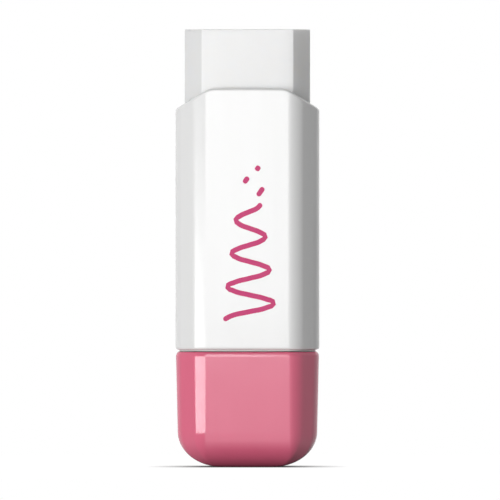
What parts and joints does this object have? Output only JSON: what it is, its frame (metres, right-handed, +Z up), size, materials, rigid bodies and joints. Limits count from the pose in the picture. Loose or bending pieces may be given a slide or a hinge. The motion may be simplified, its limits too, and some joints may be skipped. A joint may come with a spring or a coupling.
{
  "type": "twist-up eraser stick",
  "caption": "Square pocket eraser stick with cut corners: twisting the rounded base drives a screw that raises or lowers the eraser block in its white case.",
  "frame": {"origin": "centre of the flat foot under the twist base, where the stick stands", "axes": "+Z up along the stick towards the eraser's tip, -Y out of the front face, +X to the right seen from the front"},
  "size_m": [0.021, 0.021, 0.0639],
  "materials": {
    "case_plastic": "injection-moulded white styrene plastic, even satin gloss",
    "plug_plastic": "moulded natural acetal, matte",
    "base_plastic": "injection-moulded rose-pink styrene plastic, polished gloss",
    "screw_plastic": "moulded natural acetal, slightly waxy",
    "carriage_plastic": "moulded natural polypropylene, matte",
    "eraser_block": "white plasticised vinyl, cut block with a fine matte skin"
  },
  "bodies": {
    "case": {"case": "case_plastic", "bearing_plug": "plug_plastic"},
    "base": {"twist_base": "base_plastic", "lead_screw": "screw_plastic"},
    "eraser": {"carriage": "carriage_plastic", "eraser": "eraser_block"}
  },
  "joints": [
    {"name": "base_twist", "type": "hinge", "parent": "case", "child": "base", "pos_m": [0, 0, 0], "axis": [0, 0, 1], "range_deg": [-787.5, 936]},
    {"name": "eraser_feed", "type": "slide", "parent": "case", "child": "eraser", "axis": [0, 0, 1], "range_m": [-0.00875, 0.0104]}
  ],
  "couplings": [
    {"joint": "base_twist", "follows": "eraser_feed", "rad_per_m": 1570.8}
  ]
}
